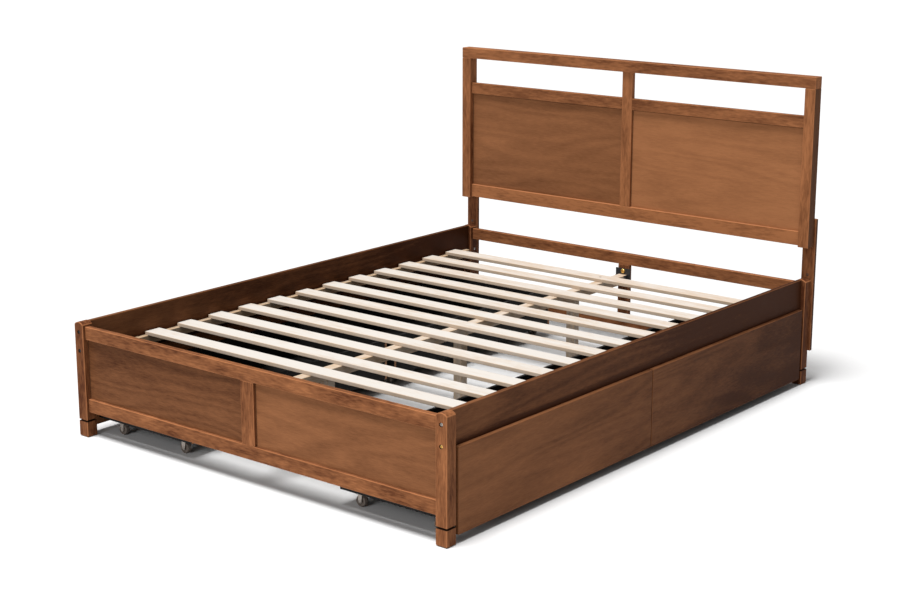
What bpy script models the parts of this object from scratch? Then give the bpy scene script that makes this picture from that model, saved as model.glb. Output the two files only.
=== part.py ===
"""Queen-size platform bed: panelled footboard and headboard, slatted deck and four drawers on casters.

+X points to the right seen from the foot end, +Y from foot to head, +Z up, in metres.
The origin is on the floor, in the middle of the bed's footprint.
Lengths along the bed are given from the front face of the foot posts and moved by FOOT_Y.
"""

import math

import bmesh
import bpy
from mathutils import Matrix, Vector

# Overall sizes
BED_WIDTH = 1.610
FRAME_LENGTH = 2.113
GAP = 0.0003

# Posts
POST = 0.042
POST_SHOULDER = 0.392
POST_ARCH_RISE = 0.009
POST_ARCH_STEPS = 8
POST_ROUNDING = 0.0035
GROOVE_HEIGHT = 0.057
GROOVE_OPENING = 0.009
GROOVE_DEPTH = 0.006
RING_SIDES = 4

# Rails and mullions of the foot and head frames
END_SETBACK = 0.010
END_RAIL_THICK = 0.020
END_TOP_RAIL = (0.341, 0.386)
END_BOTTOM_RAIL = (0.088, 0.134)
FOOT_MULLION_WIDTH = 0.056
HEAD_MULLION_WIDTH = 0.050

# Panels
PANEL_THICK = 0.008
PANEL_SETBACK = 0.010
TONGUE = 0.008

# Side rails with the slat ledgers
SIDE_RAIL_OUTER = 0.789
SIDE_RAIL_THICK = 0.015
SIDE_RAIL_HEIGHTS = (0.255, 0.400)
LEDGER_WIDTH = 0.020
LEDGER_HEIGHT = 0.030
LEDGER_END_GAP = 0.020

# Slatted deck
DECK_HEIGHT = 0.315
SLAT_THICK = 0.013
SLAT_WIDTH = 0.065
SLAT_HALF_LENGTH = 0.768
SLAT_COUNT = 13
FIRST_SLAT = 0.125
SLAT_PITCH = 0.1486

# Centre beam and its legs
BEAM_WIDTH = 0.038
BEAM_HEIGHT = 0.033
CENTRE_LEG = 0.035
CENTRE_LEG_PLACES = (0.372, 1.0565, 1.741)

# Headboard
HEADBOARD_WIDTH = 1.616
HEADBOARD_THICK = 0.045
HEADBOARD_HEIGHTS = (0.520, 1.143)
HEADBOARD_FRAME = 0.042
HEADBOARD_RAIL_SETBACK = 0.010
HEADBOARD_RAIL_THICK = 0.020
HEADBOARD_BOTTOM_RAIL = (0.524, 0.576)
HEADBOARD_MID_RAIL = (0.956, 1.000)
HEADBOARD_MULLION_WIDTH = 0.046
HEADBOARD_LEG_WIDTH = 0.051
HEADBOARD_LEG_THICK = 0.015
HEADBOARD_LEG_HEIGHTS = (0.125, 0.622)

# Drawers
DRAWER_FRONT_THICK = 0.015
DRAWER_FRONT_HEIGHTS = (0.026, 0.291)
DRAWER_FRONT_SPANS = {"foot": (0.054, 1.0545), "head": (1.0585, 2.059)}
DRAWER_BOX_INSET = 0.018
DRAWER_BOX_INNER_END = 0.328
DRAWER_BOX_HEIGHTS = (0.050, 0.200)
DRAWER_WALL = 0.012
DRAWER_FLOOR = 0.006

# Casters
WHEEL_RADIUS = 0.019
WHEEL_WIDTH = 0.018
WHEEL_SHOULDER = 0.0015
WHEEL_BORE = 0.0033
WHEEL_STEPS = 16
CASTER_END_INSET = 0.032
CASTER_X_PLACES = (0.390, 0.696)
FORK_LENGTH = 0.022
FORK_INNER = 0.021
FORK_SHEET = 0.002
FORK_BOTTOM = 0.013
FORK_EMBED = 0.001
AXLE_RADIUS = 0.0028
AXLE_STEPS = 12

# Edge rounding
WOOD_EDGE = 0.0018
BOARD_EDGE = 0.0008
SHARP_ANGLE = math.radians(30)
ROUND_STEPS = 2
CHAMFER_STEPS = 1

# How far one shape runs into another that it is joined to
JOINT_LAP = 0.004

# How far a cutter reaches out past the face that it cuts
CUT_REACH = 0.042

# Distances under which doubled points are one
WELD_DISTANCE = 0.00001
TURN_MERGE = 0.0001

# Worked-out values
OVERALL_LENGTH = FRAME_LENGTH + GAP + HEADBOARD_LEG_THICK
FOOT_Y = -OVERALL_LENGTH / 2
HALF_WIDTH = BED_WIDTH / 2
POST_INNER = HALF_WIDTH - POST
SIDE_RAIL_INNER = SIDE_RAIL_OUTER - SIDE_RAIL_THICK
SLAT_BOTTOM = DECK_HEIGHT - SLAT_THICK
LEDGER_TOP = SLAT_BOTTOM - GAP
REAR_POST_FRONT = FRAME_LENGTH - POST
FOOT_FRAME = (END_SETBACK, END_SETBACK + END_RAIL_THICK)
HEAD_FRAME = (FRAME_LENGTH - END_SETBACK - END_RAIL_THICK, FRAME_LENGTH - END_SETBACK)
HEADBOARD_SPAN = (FRAME_LENGTH - HEADBOARD_THICK, FRAME_LENGTH)
HEADBOARD_HALF = HEADBOARD_WIDTH / 2
STILE_INNER = HEADBOARD_HALF - HEADBOARD_FRAME
HEADBOARD_RAIL_FRONT = HEADBOARD_SPAN[0] + HEADBOARD_RAIL_SETBACK
HEADBOARD_RAIL_SPAN = (HEADBOARD_RAIL_FRONT, HEADBOARD_RAIL_FRONT + HEADBOARD_RAIL_THICK)

SIDES = {"left": -1, "right": 1}
ENDS = ("foot", "head")


def clear_scene():
    """Empty the scene that the script starts in."""
    for old in list(bpy.data.objects):
        bpy.data.objects.remove(old, do_unlink=True)


def new_collection(name):
    """A collection linked to the scene."""
    collection = bpy.data.collections.new(name)
    bpy.context.scene.collection.children.link(collection)
    return collection


def new_material(name, color, roughness):
    """A plain Principled material."""
    material = bpy.data.materials.new(name)
    material.use_nodes = True
    shader = material.node_tree.nodes["Principled BSDF"]
    shader.inputs["Base Color"].default_value = (*color, 1.0)
    shader.inputs["Roughness"].default_value = roughness
    material.diffuse_color = (*color, 1.0)
    return material


clear_scene()
PARTS = new_collection("platform_bed_with_drawers")
CUTTERS = new_collection("cutters")
WALNUT = new_material("walnut_stained_wood", (0.25, 0.105, 0.052), 0.45)
VENEER = new_material("walnut_veneer_panel", (0.21, 0.09, 0.045), 0.42)
PALE_WOOD = new_material("unfinished_pale_wood", (0.66, 0.56, 0.45), 0.7)
BLACK_BOARD = new_material("black_board", (0.012, 0.011, 0.011), 0.5)
CASTER_GREY = new_material("caster_wheel", (0.13, 0.12, 0.11), 0.5)


def along(place):
    """World Y of a place measured from the front face of the foot posts."""
    return FOOT_Y + place


def place_object(name, mesh, location, material, parent=None, collection=None):
    """An object at a world location, kept there when it hangs from an empty."""
    piece = bpy.data.objects.new(name, mesh)
    (collection or PARTS).objects.link(piece)
    piece.location = Vector(location)
    if parent:
        piece.parent = parent
        piece.location -= parent.location
    if material:
        mesh.materials.clear()
        mesh.materials.append(material)
    return piece


def box_mesh(name, size):
    """A box of this size about its own centre."""
    mesh = bpy.data.meshes.new(name)
    form = bmesh.new()
    bmesh.ops.create_cube(form, size=1.0, matrix=Matrix.Diagonal((*size, 1.0)))
    form.to_mesh(mesh)
    form.free()
    return mesh


def round_edges(piece, width, steps):
    """Rounds the sharp edges."""
    bevel = piece.modifiers.new("rounded_edges", "BEVEL")
    bevel.width = width
    bevel.segments = steps
    bevel.limit_method = "ANGLE"
    bevel.angle_limit = SHARP_ANGLE


def add_board(name, x_span, place_span, z_span, material, edge=WOOD_EDGE, steps=ROUND_STEPS, parent=None):
    """A straight board between two X, two lengthwise places and two heights."""
    low, high = corners(x_span, place_span, z_span)
    board = place_object(name, box_mesh(name, high - low), (low + high) / 2, material, parent)
    round_edges(board, edge, steps)
    return board


def corners(x_span, place_span, z_span):
    """The lowest and highest world corners of a box."""
    low = Vector((min(x_span), along(place_span[0]), z_span[0]))
    high = Vector((max(x_span), along(place_span[1]), z_span[1]))
    return low, high


def hide_tool(tool):
    """A cutter shows as wire and isn't rendered."""
    tool.hide_render = True
    tool.display_type = "WIRE"
    return tool


def add_tool_box(name, x_span, place_span, z_span, parent=None):
    """A box used to cut or to extend another piece."""
    low, high = corners(x_span, place_span, z_span)
    mesh = box_mesh(name, high - low)
    return hide_tool(place_object(name, mesh, (low + high) / 2, None, parent, CUTTERS))


def combine(piece, tool, operation):
    """An exact Boolean with one tool."""
    boolean = piece.modifiers.new(f"{operation.lower()}_{tool.name}", "BOOLEAN")
    boolean.operation = operation
    boolean.solver = "EXACT"
    boolean.object = tool


def cut(piece, tool):
    """Takes the tool's shape out of the piece."""
    combine(piece, tool, "DIFFERENCE")


def extend(piece, tool):
    """Adds the tool's shape to the piece."""
    combine(piece, tool, "UNION")


def outline_mesh(name, points, thickness):
    """A flat outline in XY, extruded along Z to a thickness."""
    curve = bpy.data.curves.new(name, "CURVE")
    curve.dimensions = "2D"
    curve.fill_mode = "BOTH"
    curve.extrude = thickness / 2
    spline = curve.splines.new("POLY")
    spline.points.add(len(points) - 1)
    for point, (x, y) in zip(spline.points, points):
        point.co = (x, y, 0.0, 1.0)
    spline.use_cyclic_u = True
    guide = bpy.data.objects.new(name, curve)
    mesh = bpy.data.meshes.new_from_object(guide)
    bpy.data.objects.remove(guide)
    bpy.data.curves.remove(curve)
    weld(mesh)
    return mesh


def weld(mesh):
    """Joins the doubled points of an outline's caps and walls."""
    form = bmesh.new()
    form.from_mesh(mesh)
    bmesh.ops.remove_doubles(form, verts=form.verts, dist=WELD_DISTANCE)
    bmesh.ops.recalc_face_normals(form, faces=form.faces)
    form.to_mesh(mesh)
    form.free()


def turned_mesh(name, profile):
    """A closed profile in XZ, for a Screw modifier about Z."""
    mesh = bpy.data.meshes.new(name)
    count = len(profile)
    edges = [(index, (index + 1) % count) for index in range(count)]
    mesh.from_pydata([(radius, 0.0, height) for radius, height in profile], edges, [])
    return mesh


def turn(piece, steps):
    """Turns the profile all the way round Z."""
    screw = piece.modifiers.new("turned", "SCREW")
    screw.axis = "Z"
    screw.angle = 2 * math.pi
    screw.steps = steps
    screw.render_steps = steps
    screw.use_merge_vertices = True
    screw.merge_threshold = TURN_MERGE


# Posts


def post_outline():
    """A post seen from the front: straight sides and an arched top."""
    half = POST / 2
    radius = (half**2 + POST_ARCH_RISE**2) / (2 * POST_ARCH_RISE)
    centre = POST_SHOULDER + POST_ARCH_RISE - radius
    reach = math.asin(half / radius)
    points = [(-half, 0.0), (half, 0.0)]
    for step in range(POST_ARCH_STEPS + 1):
        angle = reach - 2 * reach * step / POST_ARCH_STEPS
        points.append((radius * math.sin(angle), centre + radius * math.cos(angle)))
    return points


def groove_ring(name, location):
    """A square ring of triangular section that cuts the shadow groove round a post."""
    corner = math.sqrt(2)
    outside = (POST / 2 + GROOVE_DEPTH) * corner
    inside = (POST / 2 - GROOVE_DEPTH) * corner
    profile = [(outside, GROOVE_OPENING), (outside, -GROOVE_OPENING), (inside, 0.0)]
    ring = place_object(name, turned_mesh(name, profile), location, None, None, CUTTERS)
    ring.rotation_euler.z = math.pi / 4
    turn(ring, RING_SIDES)
    return hide_tool(ring)


def build_posts():
    """Four posts, and the tools that groove them."""
    posts = {}
    middles = {"foot": POST / 2, "head": FRAME_LENGTH - POST / 2}
    for side, sign in SIDES.items():
        for end in ENDS:
            name = f"post_{side}_{end}"
            location = Vector((sign * (HALF_WIDTH - POST / 2), along(middles[end]), 0.0))
            post = place_object(name, outline_mesh(name, post_outline(), POST), location, WALNUT)
            post.rotation_euler.x = math.pi / 2
            round_edges(post, POST_ROUNDING, ROUND_STEPS)
            groove_at = location + Vector((0.0, 0.0, GROOVE_HEIGHT))
            cut(post, groove_ring(f"{name}_groove", groove_at))
            posts[side, end] = post
    return posts


# Panels held in grooves


def add_panel(name, x_span, front, z_span, neighbours):
    """A panel whose edges sit in grooves of its neighbours."""
    place_span = (front, front + PANEL_THICK)
    add_board(name, x_span, place_span, z_span, VENEER, BOARD_EDGE, CHAMFER_STEPS)
    slot = add_tool_box(f"{name}_slot", widen(x_span), widen(place_span), widen(z_span))
    for neighbour in neighbours:
        cut(neighbour, slot)


def widen(span):
    """A span grown by the working gap at both ends."""
    return (min(span) - GAP, max(span) + GAP)


# Footboard


def build_footboard(posts):
    """Two rails, a mullion and two recessed panels between the foot posts."""
    rail_x = (-POST_INNER + GAP, POST_INNER - GAP)
    top = add_board("foot_top_rail", rail_x, FOOT_FRAME, END_TOP_RAIL, WALNUT)
    bottom = add_board("foot_bottom_rail", rail_x, FOOT_FRAME, END_BOTTOM_RAIL, WALNUT)
    half_mullion = FOOT_MULLION_WIDTH / 2
    between = (END_BOTTOM_RAIL[1] + GAP, END_TOP_RAIL[0] - GAP)
    mullion_x = (-half_mullion, half_mullion)
    mullion = add_board("foot_mullion", mullion_x, FOOT_FRAME, between, WALNUT)
    heights = (END_BOTTOM_RAIL[1] - TONGUE, END_TOP_RAIL[0] + TONGUE)
    for side, sign in SIDES.items():
        x_span = (sign * (half_mullion - TONGUE), sign * (POST_INNER + TONGUE))
        neighbours = (top, bottom, mullion, posts[side, "foot"])
        add_panel(f"foot_panel_{side}", x_span, END_SETBACK + PANEL_SETBACK, heights, neighbours)


# Head-end cross frame


def build_head_frame():
    """Two rails joined by a mullion, between the head posts, as one glued frame."""
    rail_x = (-POST_INNER + GAP, POST_INNER - GAP)
    frame = add_board("head_cross_frame", rail_x, HEAD_FRAME, END_TOP_RAIL, WALNUT)
    half = HEAD_MULLION_WIDTH / 2
    mullion_z = (END_BOTTOM_RAIL[1] - JOINT_LAP, END_TOP_RAIL[0] + JOINT_LAP)
    inset = (HEAD_FRAME[0] + WOOD_EDGE, HEAD_FRAME[1] - WOOD_EDGE)
    extend(frame, add_tool_box("head_frame_bottom_rail", rail_x, HEAD_FRAME, END_BOTTOM_RAIL))
    extend(frame, add_tool_box("head_frame_mullion", (-half, half), inset, mullion_z))


# Side rails


def build_side_rails():
    """A plank each side, with the ledger that carries the slats along its inner face."""
    rail_y = (POST + GAP, REAR_POST_FRONT - GAP)
    ledger_y = (POST + LEDGER_END_GAP, REAR_POST_FRONT - LEDGER_END_GAP)
    ledger_z = (LEDGER_TOP - LEDGER_HEIGHT, LEDGER_TOP)
    for side, sign in SIDES.items():
        rail_x = (sign * SIDE_RAIL_INNER, sign * SIDE_RAIL_OUTER)
        rail = add_board(f"side_rail_{side}", rail_x, rail_y, SIDE_RAIL_HEIGHTS, WALNUT)
        ledger_x = (sign * (SIDE_RAIL_INNER - LEDGER_WIDTH), sign * (SIDE_RAIL_INNER + JOINT_LAP))
        extend(rail, add_tool_box(f"slat_ledger_{side}", ledger_x, ledger_y, ledger_z))


# Slatted deck


def build_deck():
    """Slats across the ledgers, and the centre beam under them on three legs."""
    for index in range(SLAT_COUNT):
        start = FIRST_SLAT + index * SLAT_PITCH
        slat_x = (-SLAT_HALF_LENGTH, SLAT_HALF_LENGTH)
        slat_y = (start, start + SLAT_WIDTH)
        slat_z = (SLAT_BOTTOM, DECK_HEIGHT)
        name = f"slat_{index + 1:02d}"
        add_board(name, slat_x, slat_y, slat_z, PALE_WOOD, WOOD_EDGE, CHAMFER_STEPS)
    beam_top = SLAT_BOTTOM - GAP
    beam_z = (beam_top - BEAM_HEIGHT, beam_top)
    beam_x = (-BEAM_WIDTH / 2, BEAM_WIDTH / 2)
    beam_y = (FOOT_FRAME[1] + GAP, HEAD_FRAME[0] - GAP)
    beam = add_board("centre_beam", beam_x, beam_y, beam_z, PALE_WOOD, WOOD_EDGE, CHAMFER_STEPS)
    half = CENTRE_LEG / 2
    for number, place in enumerate(CENTRE_LEG_PLACES, 1):
        leg_y = (place - half, place + half)
        leg_z = (0.0, beam_z[0] + JOINT_LAP)
        extend(beam, add_tool_box(f"centre_leg_{number}", (-half, half), leg_y, leg_z))


# Headboard


def build_headboard():
    """Top rail over two stiles, with thinner rails, a mullion and two panels set back between them."""
    low, high = HEADBOARD_HEIGHTS
    rail_bottom = high - HEADBOARD_FRAME
    full_x = (-HEADBOARD_HALF, HEADBOARD_HALF)
    add_board("headboard_top_rail", full_x, HEADBOARD_SPAN, (rail_bottom, high), WALNUT)
    stiles = {}
    for side, sign in SIDES.items():
        stile_x = (sign * STILE_INNER, sign * HEADBOARD_HALF)
        name = f"headboard_stile_{side}"
        stiles[side] = add_board(name, stile_x, HEADBOARD_SPAN, (low, rail_bottom - GAP), WALNUT)
    members = build_headboard_middle(rail_bottom)
    build_headboard_panels(stiles, members)


def build_headboard_middle(rail_bottom):
    """The bottom rail, and the mid rail and mullion that cross in a halved joint."""
    inner_x = (-STILE_INNER + GAP, STILE_INNER - GAP)
    half = HEADBOARD_MULLION_WIDTH / 2
    mullion_x = (-half, half)
    span = HEADBOARD_RAIL_SPAN
    mullion_z = (HEADBOARD_BOTTOM_RAIL[1] + GAP, rail_bottom - GAP)
    bottom = add_board("headboard_bottom_rail", inner_x, span, HEADBOARD_BOTTOM_RAIL, WALNUT)
    middle = add_board("headboard_mid_rail", inner_x, span, HEADBOARD_MID_RAIL, WALNUT)
    mullion = add_board("headboard_mullion", mullion_x, span, mullion_z, WALNUT)
    half_depth = (span[0] + span[1]) / 2
    front_half = (span[0] - CUT_REACH, half_depth + GAP / 2)
    back_half = (half_depth - GAP / 2, span[1] + CUT_REACH)
    cut(middle, add_tool_box("mid_rail_halving", widen(mullion_x), front_half, mullion_z))
    halving_z = widen(HEADBOARD_MID_RAIL)
    cut(mullion, add_tool_box("mullion_halving", inner_x, back_half, halving_z))
    return bottom, middle, mullion


def build_headboard_panels(stiles, members):
    """A panel each side of the mullion, below the open slots."""
    heights = (HEADBOARD_BOTTOM_RAIL[1] - TONGUE, HEADBOARD_MID_RAIL[0] + TONGUE)
    inner_edge = HEADBOARD_MULLION_WIDTH / 2 - TONGUE
    front = HEADBOARD_RAIL_SPAN[0] + PANEL_SETBACK - GAP
    for side, sign in SIDES.items():
        x_span = (sign * inner_edge, sign * (STILE_INNER + TONGUE))
        add_panel(f"headboard_panel_{side}", x_span, front, heights, (stiles[side], *members))


def build_headboard_legs():
    """Two flat legs bolted behind the stiles and the head posts."""
    leg_y = (FRAME_LENGTH + GAP, OVERALL_LENGTH)
    for side, sign in SIDES.items():
        leg_x = (sign * POST_INNER, sign * (POST_INNER + HEADBOARD_LEG_WIDTH))
        add_board(f"headboard_leg_{side}", leg_x, leg_y, HEADBOARD_LEG_HEIGHTS, WALNUT)


# Drawers


def build_drawers():
    """Two drawers each side, each hung from an empty on its slide line."""
    for side, sign in SIDES.items():
        for end in ENDS:
            build_drawer(f"drawer_{side}_{end}", sign, DRAWER_FRONT_SPANS[end])


def build_drawer(name, sign, front_y):
    """One drawer: front, box with caster forks, and four wheels."""
    slide = bpy.data.objects.new(f"{name}_slide", None)
    PARTS.objects.link(slide)
    slide.location = (sign * SIDE_RAIL_OUTER, along(sum(front_y) / 2), DRAWER_BOX_HEIGHTS[0])
    inner_face = SIDE_RAIL_OUTER + GAP
    front_x = (sign * inner_face, sign * (inner_face + DRAWER_FRONT_THICK))
    add_board(f"{name}_front", front_x, front_y, DRAWER_FRONT_HEIGHTS, VENEER, parent=slide)
    box_y = (front_y[0] + DRAWER_BOX_INSET, front_y[1] - DRAWER_BOX_INSET)
    box = build_drawer_box(name, sign, box_y, slide)
    build_casters(name, sign, box_y, box, slide)


def build_drawer_box(name, sign, box_y, slide):
    """An open-topped box of thin board."""
    outer = SIDE_RAIL_OUTER
    low, high = DRAWER_BOX_HEIGHTS
    box_x = (sign * DRAWER_BOX_INNER_END, sign * outer)
    box_z = (low, high)
    box = add_board(f"{name}_box", box_x, box_y, box_z, BLACK_BOARD, BOARD_EDGE, CHAMFER_STEPS, slide)
    hollow_x = (sign * (DRAWER_BOX_INNER_END + DRAWER_WALL), sign * (outer - DRAWER_WALL))
    hollow_y = (box_y[0] + DRAWER_WALL, box_y[1] - DRAWER_WALL)
    hollow_z = (low + DRAWER_FLOOR, high + DRAWER_WALL)
    cut(box, add_tool_box(f"{name}_hollow", hollow_x, hollow_y, hollow_z, parent=slide))
    return box


def build_casters(name, sign, box_y, box, slide):
    """Four fixed casters that roll along X: forks on the box, wheels on their axles."""
    places = (box_y[0] + CASTER_END_INSET, box_y[1] - CASTER_END_INSET)
    spots = [(x, place) for x in CASTER_X_PLACES for place in places]
    for number, (x, place) in enumerate(spots, 1):
        centre = Vector((sign * x, along(place), WHEEL_RADIUS))
        extend(box, add_fork(f"{name}_fork_{number}", centre, slide))
        add_wheel(f"{name}_wheel_{number}", centre, slide)


def fork_outline():
    """A fork seen along X: two cheeks hanging from a bridge, about the axle."""
    outer = FORK_INNER / 2 + FORK_SHEET
    inner = FORK_INNER / 2
    foot = FORK_BOTTOM - WHEEL_RADIUS
    top = DRAWER_BOX_HEIGHTS[0] + FORK_EMBED - WHEEL_RADIUS
    under = DRAWER_BOX_HEIGHTS[0] - FORK_SHEET - WHEEL_RADIUS
    left = [(-inner, under), (-inner, foot), (-outer, foot), (-outer, top)]
    right = [(-x, y) for x, y in reversed(left)]
    return left + right


def add_fork(name, centre, slide):
    """A fork with its axle, as a tool that becomes part of the drawer box."""
    mesh = outline_mesh(name, fork_outline(), FORK_LENGTH)
    fork = hide_tool(place_object(name, mesh, centre, None, slide, CUTTERS))
    fork.rotation_euler = (math.pi / 2, 0.0, math.pi / 2)
    axle = hide_tool(place_object(f"{name}_axle", axle_mesh(name), centre, None, slide, CUTTERS))
    axle.rotation_euler.x = math.pi / 2
    extend(fork, axle)
    return fork


def axle_mesh(name):
    """A short rod that reaches half way into both cheeks of a fork."""
    mesh = bpy.data.meshes.new(f"{name}_axle")
    length = FORK_INNER + FORK_SHEET
    ends = {"radius1": AXLE_RADIUS, "radius2": AXLE_RADIUS}
    form = bmesh.new()
    bmesh.ops.create_cone(form, cap_ends=True, segments=AXLE_STEPS, depth=length, **ends)
    form.to_mesh(mesh)
    form.free()
    return mesh


def add_wheel(name, centre, slide):
    """A wheel turned about its axle, with its origin on the axle."""
    half = WHEEL_WIDTH / 2
    shoulder = WHEEL_RADIUS - WHEEL_SHOULDER
    tread = half - WHEEL_SHOULDER
    profile = [(shoulder, half), (WHEEL_RADIUS, tread), (WHEEL_RADIUS, -tread)]
    profile += [(shoulder, -half), (WHEEL_BORE, -half), (WHEEL_BORE, half)]
    wheel = place_object(name, turned_mesh(name, profile), centre, CASTER_GREY, slide)
    wheel.rotation_euler.x = math.pi / 2
    turn(wheel, WHEEL_STEPS)


def main():
    """Builds the whole bed."""
    posts = build_posts()
    build_footboard(posts)
    build_head_frame()
    build_side_rails()
    build_deck()
    build_headboard()
    build_headboard_legs()
    build_drawers()


main()
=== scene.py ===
"""Looks of the queen platform bed with four drawers on casters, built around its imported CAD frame.

+X points to the right seen from the foot end, +Y from foot to head, +Z up, in metres.
"""

import math
import random

import bmesh
import bpy
from mathutils import Matrix, Vector


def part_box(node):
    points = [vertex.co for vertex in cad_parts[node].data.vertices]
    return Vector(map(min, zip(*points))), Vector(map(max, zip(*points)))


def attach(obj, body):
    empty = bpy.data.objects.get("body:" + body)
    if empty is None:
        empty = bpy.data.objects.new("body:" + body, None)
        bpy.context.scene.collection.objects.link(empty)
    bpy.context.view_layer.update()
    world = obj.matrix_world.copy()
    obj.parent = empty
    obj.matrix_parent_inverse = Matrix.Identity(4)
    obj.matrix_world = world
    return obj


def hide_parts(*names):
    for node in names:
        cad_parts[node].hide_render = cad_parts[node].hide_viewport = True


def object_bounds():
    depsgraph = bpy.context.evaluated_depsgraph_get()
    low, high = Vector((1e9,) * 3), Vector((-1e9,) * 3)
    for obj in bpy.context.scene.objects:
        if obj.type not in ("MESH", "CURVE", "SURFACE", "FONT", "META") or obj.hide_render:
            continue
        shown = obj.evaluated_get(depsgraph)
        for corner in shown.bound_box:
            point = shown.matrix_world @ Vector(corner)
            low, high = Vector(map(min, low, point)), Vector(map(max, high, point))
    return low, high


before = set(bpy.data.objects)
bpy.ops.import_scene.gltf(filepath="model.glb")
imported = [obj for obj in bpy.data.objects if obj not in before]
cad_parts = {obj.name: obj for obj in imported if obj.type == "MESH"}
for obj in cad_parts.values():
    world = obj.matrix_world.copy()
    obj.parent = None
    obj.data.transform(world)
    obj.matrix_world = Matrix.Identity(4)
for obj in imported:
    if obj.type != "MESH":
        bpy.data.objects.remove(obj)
CAD_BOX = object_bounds()
FRAME_BODY = "bed_frame"
SIDES = {"left": -1, "right": 1}
ENDS = ("foot", "head")
CHANCE = random.Random(11)

# Camera
CAMERA_PLACE = (3.7821, -4.6926, 1.9074)
CAMERA_PITCH = math.radians(-14.11)
CAMERA_YAW = math.radians(39.26)
LENS = 70.76
SENSOR = 36.0

# Light and floor
FLOOR_RADIUS = 60.0
FLOOR_SIDES = 64
FLOOR_COLOR = (0.60, 0.60, 0.60)
SKY_COLOR = (1.0, 1.0, 1.0)
SKY_STRENGTH = 0.27
KEY_TURN = (math.radians(14), math.radians(-1), 0.0)
KEY_SPREAD = math.radians(22)
KEY_STRENGTH = 5.0
FILL_PLACE = Vector((0.6, -6.8, 2.6))
FILL_TARGET = Vector((0.2, 0.0, 0.6))
FILL_SIZE = 3.0
FILL_POWER = 165.0

# Patterns in the timber: how finely each one repeats along and across the grain
BROAD_STREAKS = (6, 26, 26)
FINE_STREAKS = (30, 160, 160)
PORES = (40, 1100, 1100)
CLOUDS = (1.6, 4.5, 4.5)
GROWTH = (0.9, 7.5, 7.5)
RINGS = 60.0
GRAIN_ORDER = {"X": (0, 1, 2), "Y": (1, 2, 0), "Z": (2, 0, 1)}

# Length of the jointed blocks in the timber, and the colour of painted shade that a darkened face goes
# towards
BLOCK_LENGTH = 0.31
PAINTED_SHADE_COLOR = (0.020, 0.009, 0.005)

# How far the pattern and the tone of a piece are moved by chance
GRAIN_SCATTER = 50.0
TONE_SCATTER = 0.06

# Tones of the timber pieces: the lower, the darker. They hold painted light and shade as well as the wood's
# own tone: each piece is set lighter or darker by how the light falls on it
TONES = {
    "post_left_foot": -0.28,
    "post_right_foot": -0.06,
    "post_left_head": -0.3,
    "post_right_head": -0.4,
    "foot_top_rail": -0.03,
    "foot_bottom_rail": -0.06,
    "foot_mullion": -0.12,
    "foot_panel_left": -0.26,
    "foot_panel_right": -0.05,
    "head_frame_mullion": -0.1,
    "side_rail": -0.1,
    "slat_ledger": -0.5,
    "centre_beam": -0.15,
    "centre_leg": -0.05,
    "headboard_top_rail": 0.12,
    "headboard_bottom_rail": 0.45,
    "headboard_stile": 0.08,
    "headboard_mid_rail": 0.02,
    "headboard_mullion": 0.25,
    "headboard_panel_left": 0.05,
    "headboard_panel_right": 0.32,
    "headboard_leg": -0.2,
    "drawer_front": 0.06,
}
SLAT_TONES = (0.5, 0.8)

# Edges of boards, and the angle from which an edge is a sharp one
WOOD_EDGE = 0.0018
BOARD_EDGE = 0.0008
METAL_EDGE = 0.0003
EDGE_STEPS = 3
SHARP = math.radians(28)
SMOOTH_UNDER = math.radians(50)

# How squarely a face looks along an axis: a flat face alone, or with the first step of its rounding
FLAT_FACE = 0.99
NEARLY_FLAT = 0.9

# Steps round a turned piece, and how far a cutter reaches out past the wood
TURN_STEPS = 32
WHEEL_STEPS = 40
CUT_REACH = 1.0

# Fastener heads: radius and height as shares of the head's radius, and whether the outline is a hexagon
BOLT_PROFILE = (
    (0.8, -0.6, False),
    (1.0, -0.5, False),
    (1.0, -0.2, False),
    (0.86, 0.0, False),
    (0.6, 0.06, False),
    (0.48, 0.04, True),
    (0.46, -0.4, True),
)
SCREW_PROFILE = (
    (0.5, -0.6, False),
    (1.0, -0.05, False),
    (0.94, 0.0, False),
    (0.42, 0.0, False),
    (0.22, -0.3, True),
)

# Posts
ARCH_RISE = 0.009
ARCH_STEPS = 20
POST_EDGE = 0.0032
GROOVE_HEIGHT = 0.057
GROOVE_HALF_OPENING = 0.0035
GROOVE_DEPTH = 0.006
GLIDE_HEIGHT = 0.0025
GLIDE_INSET = 0.003
BOLT_HEIGHTS = (0.366, 0.301)
BOLT_RECESS_RADIUS = 0.0066
BOLT_RECESS_DEPTH = 0.006
BOLT_HEAD_RADIUS = 0.0055
BOLT_SUNK = BOLT_RECESS_DEPTH * 0.35
BOLT_NEAR = BOLT_RECESS_RADIUS * 1.2
GROOVE_SKIN = GROOVE_DEPTH / 10
GROOVE_SIDES = 4
REAR_BOLT_HEIGHT = 0.296
REAR_BOLT_SETBACK = 0.017
# The left foot post's bolts are black steel, a dark look standing for the shade in their recesses: painted
# shade
BOLT_LOOKS = {"left": ("black_steel", "black_steel"), "right": ("zinc_steel", "yellow_zinc")}

# Panels and joints
TONGUE_SHOWN = 0.0005
TONGUE = 0.008
# Painted shade: the width of a dark line round a panel beside its frame, and how dark it is
PAINTED_SHADE_LINE = 0.004
PANEL_PAINTED_SHADE = 0.7
GAP = 0.0003

# Rails of the end frames
TOP_RAIL_HEIGHT = 0.045
BOTTOM_RAIL_HEIGHT = 0.046
HEAD_MULLION_WIDTH = 0.050
LEG_BOLT_HEIGHT = 0.412
# How dark the painted shade is on the faces that look out over the side of the bed
OUTSIDE_PAINTED_SHADE = 0.65

# Side rails
SIDE_RAIL_THICK = 0.015
# Painted shade that darkens the side rails and drawer fronts towards the head end
SIDE_PAINTED_FALLOFF = 0.6
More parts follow.
